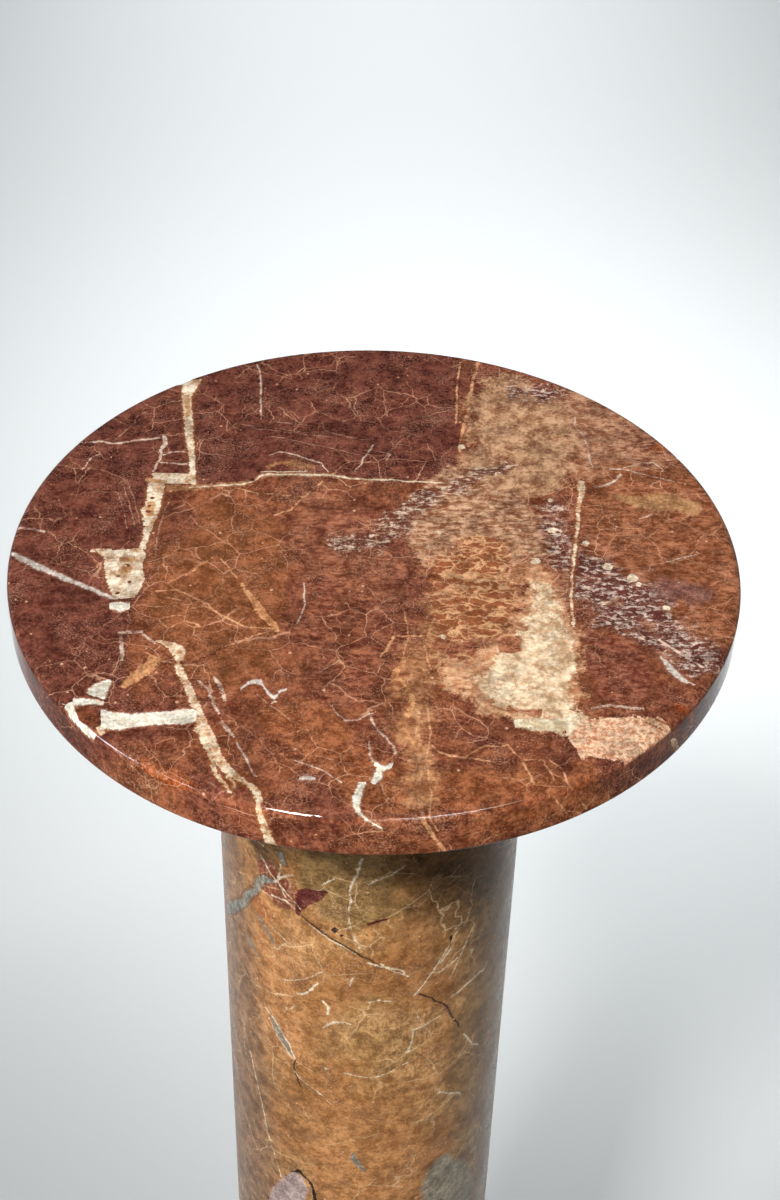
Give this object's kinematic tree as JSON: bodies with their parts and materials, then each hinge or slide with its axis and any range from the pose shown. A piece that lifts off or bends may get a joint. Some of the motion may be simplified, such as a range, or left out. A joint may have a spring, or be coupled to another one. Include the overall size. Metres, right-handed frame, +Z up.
{
  "type": "marble pedestal column",
  "caption": "Free-standing polished marble pedestal: a round slab on a plain turned shaft with a round foot slab, for displaying a vase, plant or sculpture.",
  "frame": {"origin": "centre of the foot slab's underside, on the floor the column stands on", "axes": "+Z up along the column's axis; -Y is the side the picture was taken from; +X to the right as seen from there"},
  "size_m": [0.3, 0.3, 1],
  "materials": {
    "red_marble": "polished red-brown marble with cream and white veins",
    "ochre_marble": "polished ochre marble with fine pale and grey veins"
  },
  "bodies": {
    "root": {"top_slab": "red_marble", "foot_slab": "red_marble", "shaft": "ochre_marble"}
  },
  "joints": []
}
